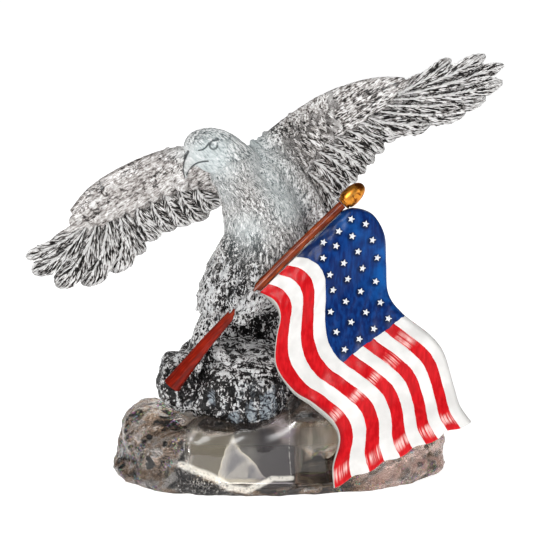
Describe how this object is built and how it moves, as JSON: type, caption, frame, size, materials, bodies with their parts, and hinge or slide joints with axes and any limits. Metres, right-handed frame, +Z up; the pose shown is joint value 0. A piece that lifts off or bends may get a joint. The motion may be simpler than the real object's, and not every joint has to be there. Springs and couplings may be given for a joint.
{
  "type": "lighted eagle figurine",
  "caption": "Clear cast eagle with spread wings on a rock perch and a lit clear rock base, holding a pole with a painted, waving flag.",
  "frame": {"origin": "centre of the overall bounding box, on the underside of the base", "axes": "+X to the viewer's right along the wings, +Y to the back, away from the viewer, +Z up"},
  "size_m": [0.218, 0.091, 0.1946],
  "materials": {
    "clear_casting": "clear cast acrylic, carved with feathers and crumpled rock",
    "clear_rock": "clear cast acrylic with a brownish cast, polished window in front",
    "light_housing": "white housing with a light behind its lens",
    "pole_paint": "glossy red-brown paint",
    "finial_gilt": "gold paint",
    "flag_paint": "glossy red, white and blue paint with stars"
  },
  "bodies": {
    "root": {"eagle_on_perch": "clear_casting", "rock_base": "clear_rock", "light_unit": "light_housing", "flagpole": "pole_paint", "finial": "finial_gilt", "flag": "flag_paint"}
  },
  "joints": []
}
